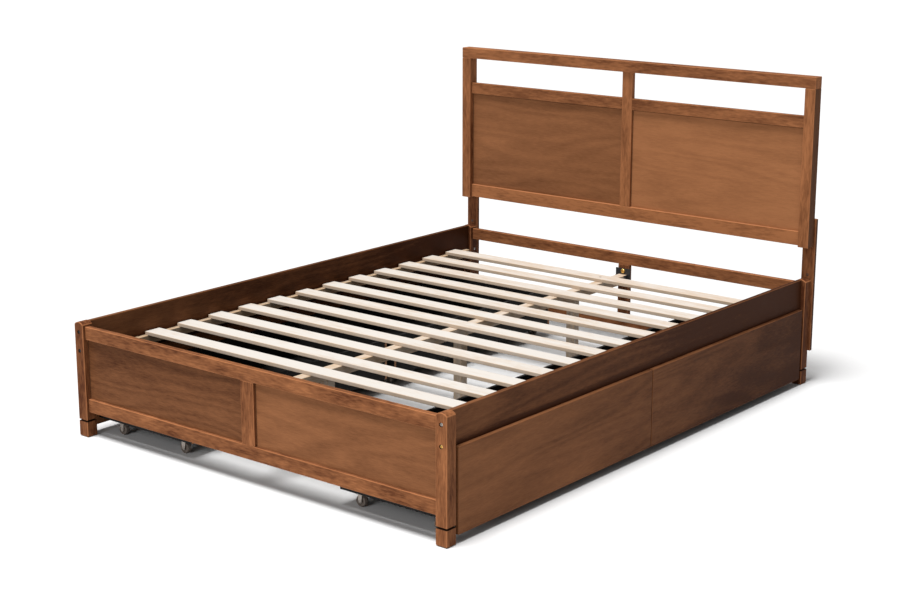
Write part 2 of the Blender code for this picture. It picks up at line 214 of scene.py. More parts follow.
# Painted shade on the side rail in the angle just above the drawers: its height and how dark it is
PAINTED_SHADE_HEIGHT = 0.024
PAINTED_SHADE_TONE = 0.5
LEDGER_HEIGHT = 0.030
LEDGER_END_GAP = 0.020
LEDGER_SCREWS = 6
LEDGER_SCREW_RADIUS = 0.004

# Slats and centre beam
# Painted shade that darkens the slats towards the head end
SLAT_PAINTED_FALLOFF = 0.55
SLAT_SCREW_ASIDE = -0.0127
SLAT_SCREW_RADIUS = 0.0045
SAWN = 0.9
BEAM_HEIGHT = 0.033
CENTRE_LEG = 0.035
CENTRE_LEG_MARKS = (0.372, 1.0565, 1.741)

# Hangers that carry the beam's ends
HANGER_SHEET = 0.0022
HANGER_LIP = 0.026
HANGER_WING = 0.013
HANGER_TOP = 0.326
HANGER_SCREW_RADIUS = 0.009
HANGER_SCREW_DROP = 0.011

# Drawers and casters
WALL = 0.012
DRAWER_FLOOR = 0.006
BOX_BOTTOM = 0.050
SHEET = 0.0018
FORK_LENGTH = 0.018
PLATE_LENGTH = 0.040
FORK_CLEAR = 0.0015
CHEEK_DROP = 0.004
CHEEK_RADIUS = 0.0062
CHEEK_START = -20
CHEEK_SWEEP = -140
CHEEK_STEPS = 12
CASTERS = 4
AXLE_RADIUS = 0.0026
AXLE_HEAD_RADIUS = 0.0040
AXLE_HEAD = 0.0009
AXLE_CROWN = 0.0012

# Wheels: the hub's radii, and shares of the wheel's radius, its half width and the rim's radius
HUB_BORE = 0.0031
HUB_RADIUS = 0.0060
HUB_FOOT_RADIUS = 0.0066
RIM_RADIUS = 0.72
RIM_WIDTH = 0.82
WEB_WIDTH = 0.55
WEB_RADIUS = 0.9
TREAD_WIDTH = 0.9
TREAD_FLAT = 0.6
TREAD_SHOULDER = 0.93


# Shader nodes


def add(tree, kind, out=0, inputs=None, **settings):
    """A shader node with its settings and inputs, given back as its output."""
    made = tree.nodes.new("ShaderNode" + kind)
    for key, value in settings.items():
        setattr(made, key, value)
    for key, value in (inputs or {}).items():
        socket = made.inputs[key]
        if isinstance(value, bpy.types.NodeSocket):
            tree.links.new(value, socket)
        else:
            socket.default_value = value
    return made.outputs[out]


def start_material(name):
    """A node material, its tree and its shader."""
    material = bpy.data.materials.new(name)
    material.use_nodes = True
    tree = material.node_tree
    return material, tree, tree.nodes["Principled BSDF"]


def attribute(tree, name, out):
    """A value that the mesh holds."""
    return add(tree, "Attribute", out, attribute_name=name)


def noise(tree, place, stretch, detail, roughness=0.55):
    """Noise over a stretched place, from 0 to 1."""
    stretched = add(tree, "VectorMath", 0, {0: place, 1: stretch}, operation="MULTIPLY")
    inputs = {"Vector": stretched, "Scale": 1.0, "Detail": detail, "Roughness": roughness}
    return add(tree, "TexNoise", "Fac", inputs)


def math_node(tree, operation, *values, clamp=False):
    """One step of arithmetic."""
    return add(tree, "Math", 0, dict(enumerate(values)), operation=operation, use_clamp=clamp)


def blocks(tree, place, length):
    """One random value for each block of this length along the grain."""
    along = add(tree, "SeparateXYZ", 0, {0: place})
    cell = math_node(tree, "FLOOR", math_node(tree, "DIVIDE", along, length))
    return add(tree, "TexWhiteNoise", "Value", {"W": cell}, noise_dimensions="1D")


def weighted(tree, start, terms):
    """start plus each value's distance from one half times its weight."""
    total = start
    for value, weight in terms:
        centred = math_node(tree, "SUBTRACT", value, 0.5)
        total = math_node(tree, "MULTIPLY_ADD", centred, weight, total)
    return total


def blend_colors(tree, amount, first, second):
    """A mix of two colours, which may themselves come from nodes."""
    inputs = {0: amount, 6: first, 7: second}
    return add(tree, "Mix", 2, inputs, data_type="RGBA", clamp_factor=True)


def rgba(color):
    """A colour with full alpha."""
    return (*color, 1.0)


def dent(tree, shader, height, strength, distance):
    """Relief from a height between 0 and 1."""
    inputs = {"Height": height, "Strength": strength, "Distance": distance}
    tree.links.new(add(tree, "Bump", 0, inputs), shader.inputs["Normal"])


# Materials


def wood(name, dark, light, worn_and_lit, roughness, streak, figure, block):
    """Timber: streaks, growth rings and pores along the grain, jointed blocks, edges and sawn faces in
    their own colour, which on the walnut is partly a painted highlight, and faces darkened with painted
    shade.
    """
    material, tree, shader = start_material(name)
    grain = attribute(tree, "grain", "Vector")
    tone = attribute(tree, "tone", "Fac")
    edge = attribute(tree, "edge", "Fac")
    broad = noise(tree, grain, BROAD_STREAKS, 4.0)
    fine = noise(tree, grain, FINE_STREAKS, 4.0)
    pores = noise(tree, grain, PORES, 2.0)
    cloud = noise(tree, grain, CLOUDS, 2.0)
    swirl = noise(tree, grain, GROWTH, 1.0)
    turns = math_node(tree, "MULTIPLY", swirl, RINGS)
    rings = math_node(tree, "MULTIPLY_ADD", math_node(tree, "SINE", turns), 0.5, 0.5)
    terms = [(broad, streak), (fine, streak), (pores, 0.5), (cloud, figure), (rings, figure * 0.2)]
    terms.append((blocks(tree, grain, BLOCK_LENGTH), block))
    amount = weighted(tree, 0.5, terms)
    amount = math_node(tree, "ADD", amount, tone, clamp=True)
    body = blend_colors(tree, amount, rgba(dark), rgba(light))
    # Rounded edges and the slats' sawn faces go towards the edge colour: rubbed wood, and on the walnut
    # also a painted highlight
    wear_and_highlight = math_node(tree, "MULTIPLY", edge, math_node(tree, "ADD", broad, 0.1), clamp=True)
    # Faces marked below zero go towards the colour of painted shade
    painted_shade = math_node(tree, "MULTIPLY", edge, -1.0, clamp=True)
    body = blend_colors(tree, wear_and_highlight, body, rgba(worn_and_lit))
    body = blend_colors(tree, painted_shade, body, rgba(PAINTED_SHADE_COLOR))
    tree.links.new(body, shader.inputs["Base Color"])
    gloss = weighted(tree, roughness, [(fine, 0.18), (broad, 0.12)])
    tree.links.new(gloss, shader.inputs["Roughness"])
    dent(tree, shader, weighted(tree, 0.5, [(fine, 0.6), (pores, 0.8)]), 0.25, 0.0004)
    shader.inputs["Specular IOR Level"].default_value = 0.03
    return material


def black_film():
    """Board faced with black film, faintly textured and dusty."""
    material, tree, shader = start_material("black_film_board")
    grain = attribute(tree, "grain", "Vector")
    dust = noise(tree, grain, (9, 9, 9), 5.0, 0.7)
    texture = noise(tree, grain, (700, 700, 700), 2.0)
    color = blend_colors(tree, dust, rgba((0.006, 0.0055, 0.0055)), rgba((0.016, 0.015, 0.0145)))
    tree.links.new(color, shader.inputs["Base Color"])
    tree.links.new(weighted(tree, 0.55, [(dust, 0.25)]), shader.inputs["Roughness"])
    shader.inputs["Specular IOR Level"].default_value = 0.12
    dent(tree, shader, texture, 0.2, 0.0002)
    return material


def raw_edge():
    """The raw edge of a layered board: dark and light plies across its thickness."""
    material, tree, shader = start_material("raw_board_edge")
    grain = attribute(tree, "grain", "Vector")
    plies = noise(tree, grain, (420, 6, 420), 2.0)
    flecks = noise(tree, grain, (900, 160, 900), 3.0)
    amount = weighted(tree, 0.5, [(plies, 1.3), (flecks, 0.7)])
    color = blend_colors(tree, amount, rgba((0.17, 0.075, 0.035)), rgba((0.42, 0.22, 0.11)))
    tree.links.new(color, shader.inputs["Base Color"])
    shader.inputs["Roughness"].default_value = 0.85
    dent(tree, shader, flecks, 0.4, 0.0004)
    return material


def metal(name, color, tarnish, roughness, metallic):
    """Plated or painted steel with fine scratches and duller patches."""
    material, tree, shader = start_material(name)
    grain = attribute(tree, "grain", "Vector")
    patches = noise(tree, grain, (90, 90, 90), 4.0, 0.6)
    scratches = noise(tree, grain, (260, 2600, 2600), 2.0)
    tree.links.new(blend_colors(tree, patches, rgba(tarnish), rgba(color)), shader.inputs["Base Color"])
    gloss = weighted(tree, roughness, [(patches, 0.3), (scratches, 0.15)])
    tree.links.new(gloss, shader.inputs["Roughness"])
    shader.inputs["Metallic"].default_value = metallic
    dent(tree, shader, scratches, 0.12, 0.0001)
    return material


def moulded(name, dark, light, roughness):
    """Moulded plastic or rubber with a scuffed surface."""
    material, tree, shader = start_material(name)
    grain = attribute(tree, "grain", "Vector")
    scuffs = noise(tree, grain, (60, 260, 260), 5.0, 0.65)
    skin = noise(tree, grain, (1500, 1500, 1500), 2.0)
    tree.links.new(blend_colors(tree, scuffs, rgba(dark), rgba(light)), shader.inputs["Base Color"])
    tree.links.new(weighted(tree, roughness, [(scuffs, 0.3)]), shader.inputs["Roughness"])
    dent(tree, shader, skin, 0.2, 0.0002)
    return material


LOOKS = {
    # The walnut's lighter edge colour is partly a painted highlight on the rounded edges
    "walnut_solid": wood(
        "walnut_stained_wood",
        dark=(0.070, 0.022, 0.009),
        light=(0.315, 0.125, 0.051),
        worn_and_lit=(0.36, 0.145, 0.060),
        roughness=0.5,
        streak=1.2,
        figure=0.5,
        block=0.1,
    ),
    "walnut_veneer": wood(
        "walnut_veneer",
        dark=(0.046, 0.015, 0.006),
        light=(0.335, 0.139, 0.059),
        worn_and_lit=(0.18, 0.073, 0.032),
        roughness=0.48,
        streak=0.26,
        figure=0.5,
        block=0.0,
    ),
    "pale_wood": wood(
        "pale_softwood",
        dark=(0.41, 0.29, 0.185),
        light=(0.50, 0.468, 0.43),
        worn_and_lit=(0.44, 0.30, 0.18),
        roughness=0.75,
        streak=1.1,
        figure=0.5,
        block=0.1,
    ),
    "plywood_edge": raw_edge(),
    "black_board": black_film(),
    "caster_wheel": moulded("caster_plastic", (0.06, 0.044, 0.035), (0.19, 0.155, 0.13), 0.55),
    "zinc_steel": metal("zinc_plated_steel", (0.60, 0.55, 0.50), (0.26, 0.22, 0.19), 0.42, 0.7),
    "yellow_zinc": metal("yellow_zinc_steel", (0.90, 0.62, 0.16), (0.62, 0.34, 0.12), 0.35, 0.8),
    "black_steel": metal("black_painted_steel", (0.022, 0.022, 0.023), (0.012, 0.012, 0.012), 0.45, 0.0),
    "foot_glide": moulded("dark_glide", (0.010, 0.009, 0.009), (0.03, 0.027, 0.025), 0.8),
}
OBJECT_PARTS = bpy.data.collections.new("bed_looks")
bpy.context.scene.collection.children.link(OBJECT_PARTS)


# Meshes


def soften(form, width):
    """Rounds the sharp edges and marks the faces that this makes."""
    marks = form.faces.layers.float.new("edge")
    form.normal_update()
    sharp = [edge for edge in form.edges if edge.calc_face_angle(0.0) > SHARP]
    rounded = bmesh.ops.bevel(
        form, geom=sharp, offset=width, segments=EDGE_STEPS, profile=0.5, affect="EDGES", clamp_overlap=True
    )
    for face in rounded["faces"]:
        face[marks] = 1.0


def to_mesh(name, form):
    """The finished mesh of a form."""
    bmesh.ops.recalc_face_normals(form, faces=form.faces)
    mesh = bpy.data.meshes.new(name)
    form.to_mesh(mesh)
    form.free()
    return mesh


def box_mesh(name, low, high, width=WOOD_EDGE):
    """A box with rounded edges."""
    form = bmesh.new()
    middle = (Vector(low) + Vector(high)) / 2
    size = Vector(high) - Vector(low)
    place = Matrix.Translation(middle) @ Matrix.Diagonal((*size, 1.0))
    bmesh.ops.create_cube(form, size=1.0, matrix=place)
    if width:
        soften(form, width)
    return to_mesh(name, form)


def panel_mesh(name, low, high):
    """A flat panel with a dark line of painted shade beside its frame, except along the bottom."""
    form = bmesh.new()
    form.from_mesh(box_mesh(name, low, high, BOARD_EDGE))
    form.normal_update()
    broad = [face for face in form.faces if abs(face.normal.y) > FLAT_FACE]
    rim = bmesh.ops.inset_individual(form, faces=broad, thickness=PAINTED_SHADE_LINE)["faces"]
    marks = form.faces.layers.float["edge"]
    # The rims beside the frame get painted shade, all but the bottom one
    for face in rim:
        lowest = face.calc_center_median().z < low.z + PAINTED_SHADE_LINE
        face[marks] = 0.0 if lowest else -PANEL_PAINTED_SHADE
    return to_mesh(name, form)


def prism_mesh(name, outline, place, thickness, width):
    """An outline in the XY plane, raised along Z about its middle and set in place."""
    form = bmesh.new()
    points = [form.verts.new((x, y, -thickness / 2)) for x, y in outline]
    face = form.faces.new(points)
    raised = bmesh.ops.extrude_face_region(form, geom=[face])["geom"]
    top = [item for item in raised if isinstance(item, bmesh.types.BMVert)]
    bmesh.ops.translate(form, verts=top, vec=(0.0, 0.0, thickness))
    bmesh.ops.recalc_face_normals(form, faces=form.faces)
    soften(form, width)
    bmesh.ops.transform(form, matrix=place, verts=form.verts)
    return to_mesh(name, form)


def cut_level(mesh, height):
    """Adds an edge loop round the mesh at a height."""
    form = bmesh.new()
    form.from_mesh(mesh)
    whole = [*form.verts, *form.edges, *form.faces]
    bmesh.ops.bisect_plane(form, geom=whole, plane_co=(0, 0, height), plane_no=(0, 0, 1))
    form.to_mesh(mesh)
    form.free()


def hexagon_reach(angle):
    """How far a hexagon of radius 1 reaches at an angle."""
    sixth = math.pi / 3
    return math.cos(sixth / 2) / math.cos(angle % sixth - sixth / 2)


def ring_mesh(name, profile, place, steps):
    """A closed profile of (radius, height, _) turned about Z into a ring."""
    form = bmesh.new()
    rings = []
    for step in range(steps):
        angle = 2 * math.pi * step / steps
        across = Vector((math.cos(angle), math.sin(angle), 0.0))
        rings.append([form.verts.new(across * radius + Vector((0.0, 0.0, z))) for radius, z, _ in profile])
    for step in range(steps):
        here, after = rings[step], rings[(step + 1) % steps]
        for index in range(len(profile)):
            following = (index + 1) % len(profile)
            form.faces.new((here[index], after[index], after[following], here[following]))
    form.faces.layers.float.new("edge")
    bmesh.ops.transform(form, matrix=place, verts=form.verts)
    return to_mesh(name, form)


def mirrored(profile):
    """The (radius, height) points of one half, then their mirror image, none of them hexagonal."""
    half = [(radius, height, False) for radius, height in profile]
    return half + [(radius, -height, False) for radius, height, _ in reversed(half)]


def turned_mesh(name, profile, place):
    """A profile of (radius, height, is_hexagon) turned about Z and closed at both ends."""
    form = bmesh.new()
    rings = []
    for radius, height, hexagonal in profile:
        ring = []
        for step in range(TURN_STEPS):
            angle = 2 * math.pi * step / TURN_STEPS
            reach = radius * (hexagon_reach(angle) if hexagonal else 1.0)
            ring.append(form.verts.new((reach * math.cos(angle), reach * math.sin(angle), height)))
        rings.append(ring)
    for lower, upper in zip(rings, rings[1:]):
        for step in range(TURN_STEPS):
            after = (step + 1) % TURN_STEPS
            form.faces.new((lower[step], lower[after], upper[after], upper[step]))
    form.faces.new(rings[0])
    form.faces.new(rings[-1])
    form.faces.layers.float.new("edge")
    bmesh.ops.transform(form, matrix=place, verts=form.verts)
    return to_mesh(name, form)


def painted_falloff(amount):
    """Painted shade: a tone change that grows darker from the foot end to the head end."""
    foot, head = CAD_BOX[0][1], CAD_BOX[1][1]
    return lambda place: -amount * (place.y - foot) / (head - foot)


def paint(mesh, grain, tone, shade):
    """Gives the mesh its place along and across the grain, and its tone, which a painted shade may vary."""
    start = [CHANCE.uniform(-GRAIN_SCATTER, GRAIN_SCATTER) for _ in range(3)]
    order = GRAIN_ORDER[grain]
    places = [vertex.co[axis] + start[axis] for vertex in mesh.vertices for axis in order]
    mesh.attributes.new("grain", "FLOAT_VECTOR", "POINT")
    mesh.attributes["grain"].data.foreach_set("vector", places)
    mesh.attributes.new("tone", "FLOAT", "POINT")
    tones = [tone + (shade(vertex.co) if shade else 0.0) for vertex in mesh.vertices]
    mesh.attributes["tone"].data.foreach_set("value", tones)


def show(name, mesh, look, body=FRAME_BODY, grain="X", tone=0.0, nodes=(), shade=None):
    """A visible piece that rides on a body and may stand for CAD nodes."""
    paint(mesh, grain, tone + CHANCE.uniform(-TONE_SCATTER, TONE_SCATTER), shade)
    piece = bpy.data.objects.new(name, mesh)
    OBJECT_PARTS.objects.link(piece)
    mesh.materials.append(LOOKS[look])
    mesh.shade_smooth()
    mesh.set_sharp_from_angle(angle=SMOOTH_UNDER)
    even = piece.modifiers.new("even_normals", "WEIGHTED_NORMAL")
    even.keep_sharp = True
    even.weight = 100
    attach(piece, body)
    if nodes:
        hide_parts(*nodes)
    return piece


def mark_faces(mesh, test, amount):
    """Marks the faces that pass the test for the edge colour, up to 1, or for painted shade, down to -1."""
    marks = mesh.attributes.get("edge") or mesh.attributes.new("edge", "FLOAT", "FACE")
    for face, mark in zip(mesh.polygons, marks.data):
        if test(face):
            mark.value = amount


def carve(mesh, cutters):
    """The mesh less the cutters' meshes, which are used up."""
    solid = bpy.data.objects.new("solid", mesh)
    bpy.context.scene.collection.objects.link(solid)
    helpers = []
    for cutter in cutters:
        helper = bpy.data.objects.new("cutter", cutter)
        bpy.context.scene.collection.objects.link(helper)
        boolean = solid.modifiers.new("carve", "BOOLEAN")
        boolean.object = helper
        boolean.solver = "EXACT"
        helpers.append(helper)
    view = bpy.context.evaluated_depsgraph_get()
    carved = bpy.data.meshes.new_from_object(solid.evaluated_get(view))
    for helper in [solid, *helpers]:
        bpy.data.objects.remove(helper)
    return carved


def board(name, look, low, high, grain, tone=0.0, body=FRAME_BODY, nodes=(), width=WOOD_EDGE, shade=None):
    """A straight board."""
    return show(name, box_mesh(name, low, high, width), look, body, grain, tone, nodes, shade)


def node_board(node, look, grain, tone=0.0, body=FRAME_BODY, shade=None):
    """A board that stands for a CAD node and fills its box."""
    low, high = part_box(node)
    return board(f"{node}_board", look, low, high, grain, tone, body, (node,), shade=shade)


def corners(x_span, y_span, z_span):
    """The corners of a box given by its three spans, in any order."""
    spans = (x_span, y_span, z_span)
    return Vector([min(span) for span in spans]), Vector([max(span) for span in spans])


# Fasteners


def facing(place, direction):
    """A matrix that stands Z along a direction, at a place."""
    turn = Vector(direction).to_track_quat("Z", "Y")
    return Matrix.Translation(place) @ turn.to_matrix().to_4x4()


def fastener(name, profile, place, direction, radius, look):
    """A fastener's head, turned to a profile and facing a direction."""
    points = [(radius * across, radius * height, hexagonal) for across, height, hexagonal in profile]
    show(name, turned_mesh(name, points, facing(place, direction)), look)


def socket_bolt(name, place, direction, radius, look):
    """A low domed bolt head with a hexagonal socket."""
    fastener(name, BOLT_PROFILE, place, direction, radius, look)


def countersunk_screw(name, place, direction, radius, look):
    """A countersunk screw head with a small recess, its face level with the place."""
    fastener(name, SCREW_PROFILE, place, direction, radius, look)


# Posts


def post_outline(width, low, high):
    """A post seen from the front: straight sides and an arched top."""
    half = width / 2
    radius = (half**2 + ARCH_RISE**2) / (2 * ARCH_RISE)
    reach = math.asin(half / radius)
    points = [(-half, low), (half, low)]
    for step in range(ARCH_STEPS + 1):
        angle = reach - 2 * reach * step / ARCH_STEPS
        points.append((radius * math.sin(angle), high - radius + radius * math.cos(angle)))
    return points


def groove_cutter(middle, half):
    """A square ring of triangular section for the shadow groove."""
    outside = (half + GROOVE_DEPTH) * math.sqrt(2)
    inside = (half - GROOVE_DEPTH) * math.sqrt(2)
    open_half = GROOVE_HALF_OPENING * 2
    profile = [(inside, 0.0, False), (outside, open_half, False), (outside, -open_half, False)]
    place = Matrix.Translation(middle) @ Matrix.Rotation(math.pi / 4, 4, "Z")
    return ring_mesh("groove", profile, place, GROOVE_SIDES)


def bolt_recess(place, direction):
    """A round hole for a bolt head."""
    profile = mirrored([(BOLT_RECESS_RADIUS, -BOLT_RECESS_DEPTH)])
    return turned_mesh("recess", profile, facing(place, direction))


def build_post(side, end):
    """A post with its shadow groove, glide and bolts: two in recesses at the foot end, one at the head."""
    node = f"post_{side}_{end}"
    low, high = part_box(node)
    middle = (low + high) / 2
    width = high.x - low.x
    outline = post_outline(width, low.z + GLIDE_HEIGHT, high.z)
    upright = Matrix.Translation((middle.x, middle.y, 0.0)) @ Matrix.Rotation(math.pi / 2, 4, "X")
    mesh = prism_mesh(node, outline, upright, high.y - low.y, POST_EDGE)
    cutters = [groove_cutter(Vector((middle.x, middle.y, GROOVE_HEIGHT)), width / 2)]
    bolts = [Vector((middle.x, low.y, height)) for height in BOLT_HEIGHTS] if end == "foot" else []
    cutters += [bolt_recess(place, (0, -1, 0)) for place in bolts]
    mesh = carve(mesh, cutters)
    core = width / 2 - GROOVE_SKIN

    def in_painted_shade(face):
        """Whether a face lies in the groove or in a bolt's recess, where shade is painted."""
        place = face.center
        aside = place - middle
        in_post = abs(aside.x) < core and abs(aside.y) < core
        in_groove = abs(place.z - GROOVE_HEIGHT) < GROOVE_HALF_OPENING
        in_recess = any((place - bolt).length < BOLT_NEAR for bolt in bolts)
        return in_post and (in_groove or in_recess)

    # Painted shade in the groove and the bolt recesses
    mark_faces(mesh, in_painted_shade, -1.0)
    show(f"{node}_timber", mesh, "walnut_solid", grain="Z", tone=TONES[node], nodes=(node,))
    for number, place in enumerate(bolts, 1):
        look = BOLT_LOOKS[side][number - 1]
        head = place + Vector((0.0, BOLT_SUNK, 0.0))
        socket_bolt(f"{node}_bolt_{number}", head, (0, -1, 0), BOLT_HEAD_RADIUS, look)
    if end == "head":
        sign = SIDES[side]
        inner = min(abs(low.x), abs(high.x))
        place = Vector((sign * inner, high.y - REAR_BOLT_SETBACK, REAR_BOLT_HEIGHT))
        socket_bolt(f"{node}_bolt", place, (-sign, 0, 0), BOLT_HEAD_RADIUS, "zinc_steel")
    inset = Vector((GLIDE_INSET, GLIDE_INSET, 0.0))
    glide_top = Vector((high.x, high.y, GLIDE_HEIGHT))
    board(f"{node}_glide", "foot_glide", low + inset, glide_top - inset, "X", width=BOARD_EDGE)


# End frames


def shown_panel(node):
    """A panel, shown only as far as its frame members reach over it."""
    low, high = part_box(node)
    trim = TONGUE - TONGUE_SHOWN
    low = low + Vector((trim, 0.0, trim))
    high = high - Vector((trim, 0.0, trim))
    name = f"{node}_sheet"
    show(name, panel_mesh(name, low, high), "walnut_veneer", tone=TONES[node], nodes=(node,))


def build_footboard():
    """Rails, mullion and panels of the foot end."""
    for node, grain in (("foot_top_rail", "X"), ("foot_bottom_rail", "X"), ("foot_mullion", "Z")):
        node_board(node, "walnut_solid", grain, TONES[node])
    for side in SIDES:
        shown_panel(f"foot_panel_{side}")


def build_head_frame():
    """The cross frame at the head end, as its two rails and its mullion."""
    node = "head_cross_frame"
    low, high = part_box(node)
    y_span = (low.y, high.y)
    bottom = (low.z, low.z + BOTTOM_RAIL_HEIGHT)
    top = (high.z - TOP_RAIL_HEIGHT, high.z)
    half = HEAD_MULLION_WIDTH / 2
    for name, span in (("bottom", bottom), ("top", top)):
        ends = corners((low.x, high.x), y_span, span)
        board(f"head_frame_{name}_rail", "walnut_solid", *ends, "X", nodes=(node,))
    ends = corners((-half, half), y_span, (bottom[1] + GAP, top[0] - GAP))
    board("head_frame_mullion", "walnut_solid", *ends, "Z", TONES["head_frame_mullion"], nodes=(node,))


# Side rails and deck


def build_side_rail(side, sign):
    """A plank and, as a batten of its own, the ledger screwed along its inner face."""
    node = f"side_rail_{side}"
    low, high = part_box(node)
    outer = max(abs(low.x), abs(high.x))
    inner = outer - SIDE_RAIL_THICK
    plank = corners((sign * inner, sign * outer), (low.y, high.y), (low.z, high.z))
    drawer_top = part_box(f"drawer_{side}_foot_front")[1].z
    mesh = box_mesh(f"{node}_plank", *plank)
    cut_level(mesh, drawer_top)
    cut_level(mesh, drawer_top + PAINTED_SHADE_HEIGHT)

    def shade(place):
        """Painted shade: darker towards the head, and darker again in the angle above the drawers."""
        in_shaded_angle = place.z < drawer_top + PAINTED_SHADE_HEIGHT / 2
        return painted_falloff(SIDE_PAINTED_FALLOFF)(place) - (PAINTED_SHADE_TONE if in_shaded_angle else 0.0)

    tone = TONES["side_rail"]
    show(f"{node}_plank", mesh, "walnut_veneer", grain="Y", tone=tone, nodes=(node,), shade=shade)
    build_ledger(side, sign, low, high)


def build_ledger(side, sign, low, high):
    """The batten that carries the slats, in the inner part of the side rail's box, and its screws."""
    inner = max(abs(low.x), abs(high.x)) - SIDE_RAIL_THICK
    ledger_inner = min(abs(low.x), abs(high.x))
    ledger_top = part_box("slat_01")[0].z - GAP
    y_span = (low.y + LEDGER_END_GAP, high.y - LEDGER_END_GAP)
    z_span = (ledger_top - LEDGER_HEIGHT, ledger_top)
    ledger = corners((sign * ledger_inner, sign * inner), y_span, z_span)
    name = f"slat_ledger_{side}"
    board(name, "pale_wood", *ledger, "Y", TONES["slat_ledger"], nodes=(f"side_rail_{side}",))
    spacing = (y_span[1] - y_span[0]) / LEDGER_SCREWS
    for number in range(LEDGER_SCREWS):
        place = Vector((sign * ledger_inner, y_span[0] + spacing * (number + 0.5), sum(z_span) / 2))
        place.x -= sign * GAP / 2
        screw = f"{name}_screw_{number + 1}"
        countersunk_screw(screw, place, (-sign, 0, 0), LEDGER_SCREW_RADIUS, "zinc_steel")


def build_slats():
    """The pale slats, the first and the last one with a screw into the centre beam."""
    slats = sorted(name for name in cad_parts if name.startswith("slat_"))
    for node in slats:
        mesh = box_mesh(f"{node}_board", *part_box(node))
        mark_faces(mesh, lambda face: abs(face.normal.y) > NEARLY_FLAT, SAWN)
        tone = CHANCE.uniform(*SLAT_TONES)
        # The slats darken towards the head with painted shade
        show(f"{node}_board", mesh, "pale_wood", tone=tone, nodes=(node,), shade=painted_falloff(SLAT_PAINTED_FALLOFF))
    for node in (slats[0], slats[-1]):
        low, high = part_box(node)
        place = Vector((SLAT_SCREW_ASIDE, (low.y + high.y) / 2, high.z + GAP / 2))
        countersunk_screw(f"{node}_screw", place, (0, 0, 1), SLAT_SCREW_RADIUS, "black_steel")


def build_centre_beam():
    """The beam and its three legs."""
    node = "centre_beam"
    low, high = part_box(node)
    bottom = high.z - BEAM_HEIGHT
    beam = corners((low.x, high.x), (low.y + HANGER_SHEET, high.y - HANGER_SHEET), (bottom, high.z))
    board("centre_beam_timber", "pale_wood", *beam, "Y", TONES[node], nodes=(node,))
    half = CENTRE_LEG / 2
    foot_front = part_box("post_left_foot")[0].y
    for number, mark in enumerate(CENTRE_LEG_MARKS, 1):
        y = foot_front + mark
        leg = corners((-half, half), (y - half, y + half), (0.0, bottom - GAP))
        board(f"centre_leg_{number}", "pale_wood", *leg, "Z", TONES["centre_leg"], nodes=(node,))


def build_hanger(end, sign):
    """A black pressed hanger that carries one end of the beam, with its screw."""
    low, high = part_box("centre_beam")
    bottom = high.z - BEAM_HEIGHT
    face = high.y if sign > 0 else low.y
    back = (face - sign * HANGER_SHEET, face)
    lip = (face - sign * HANGER_LIP, face - sign * HANGER_SHEET)
    half = high.x
    wing = half + HANGER_SHEET + HANGER_WING
    plates = {
        "back": corners((-wing, wing), back, (bottom - HANGER_SHEET, HANGER_TOP)),
        "seat": corners((-half, half), lip, (bottom - HANGER_SHEET, bottom - GAP / 2)),
        "left_cheek": corners((-half - HANGER_SHEET, -half - GAP / 2), lip, (bottom, high.z)),
        "right_cheek": corners((half + GAP / 2, half + HANGER_SHEET), lip, (bottom, high.z)),
    }
    for name, ends in plates.items():
        board(f"beam_hanger_{end}_{name}", "black_steel", *ends, "Y", width=METAL_EDGE)
    screw_y = face - sign * (HANGER_SHEET + HANGER_SCREW_RADIUS / 2)
    place = Vector((0.0, screw_y, HANGER_TOP - HANGER_SCREW_DROP))
    socket_bolt(f"beam_hanger_{end}_screw", place, (0, -sign, 0), HANGER_SCREW_RADIUS, "yellow_zinc")


# Headboard


def shade_outside_face(piece, sign):
    """Paints shade onto the face that looks out over the side of the bed."""
    mark_faces(piece.data, lambda face: face.normal.x * sign > NEARLY_FLAT, -OUTSIDE_PAINTED_SHADE)


def build_headboard():
    """The framed headboard: thick outer frame, thinner members set back, and two panels."""
    for node in ("headboard_top_rail", "headboard_bottom_rail"):
        node_board(node, "walnut_solid", "X", TONES[node])
    for side, sign in SIDES.items():
        stile = node_board(f"headboard_stile_{side}", "walnut_solid", "Z", TONES["headboard_stile"])
        shade_outside_face(stile, sign)
        shown_panel(f"headboard_panel_{side}")
    build_crossing()


def build_crossing():
    """The mid rail and the mullion of the headboard, halved into each other where they cross."""
    rail_low, rail_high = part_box("headboard_mid_rail")
    post_low, post_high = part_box("headboard_mullion")
    half_depth = (rail_low.y + rail_high.y) / 2
    narrow_x = (post_low.x, post_high.x)
    wide_x = (post_low.x - CUT_REACH, post_high.x + CUT_REACH)
    tall_z = (post_low.z - CUT_REACH, post_high.z + CUT_REACH)
    front_notch = corners(narrow_x, (rail_low.y - CUT_REACH, half_depth), tall_z)
    back_notch = corners(wide_x, (half_depth, rail_high.y + CUT_REACH), (rail_low.z, rail_high.z))
    rail = carve(box_mesh("rail", rail_low, rail_high), [box_mesh("notch", *front_notch, 0.0)])
    mullion = carve(box_mesh("mullion", post_low, post_high), [box_mesh("notch", *back_notch, 0.0)])
    for node, mesh, grain in (("headboard_mid_rail", rail, "X"), ("headboard_mullion", mullion, "Z")):
        show(f"{node}_timber", mesh, "walnut_solid", grain=grain, tone=TONES[node], nodes=(node,))


def build_headboard_legs():
    """The legs behind the stiles and the posts, each with a bolt head just above its post."""
    for side, sign in SIDES.items():
        node = f"headboard_leg_{side}"
        shade_outside_face(node_board(node, "walnut_solid", "Z", TONES["headboard_leg"]), sign)
        low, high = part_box(node)
        middle = (low.x + high.x) / 2
        place = Vector((middle, low.y - GAP, LEG_BOLT_HEIGHT))
        socket_bolt(f"{node}_bolt", place, (0, -1, 0), BOLT_HEAD_RADIUS, "black_steel")


# Drawers


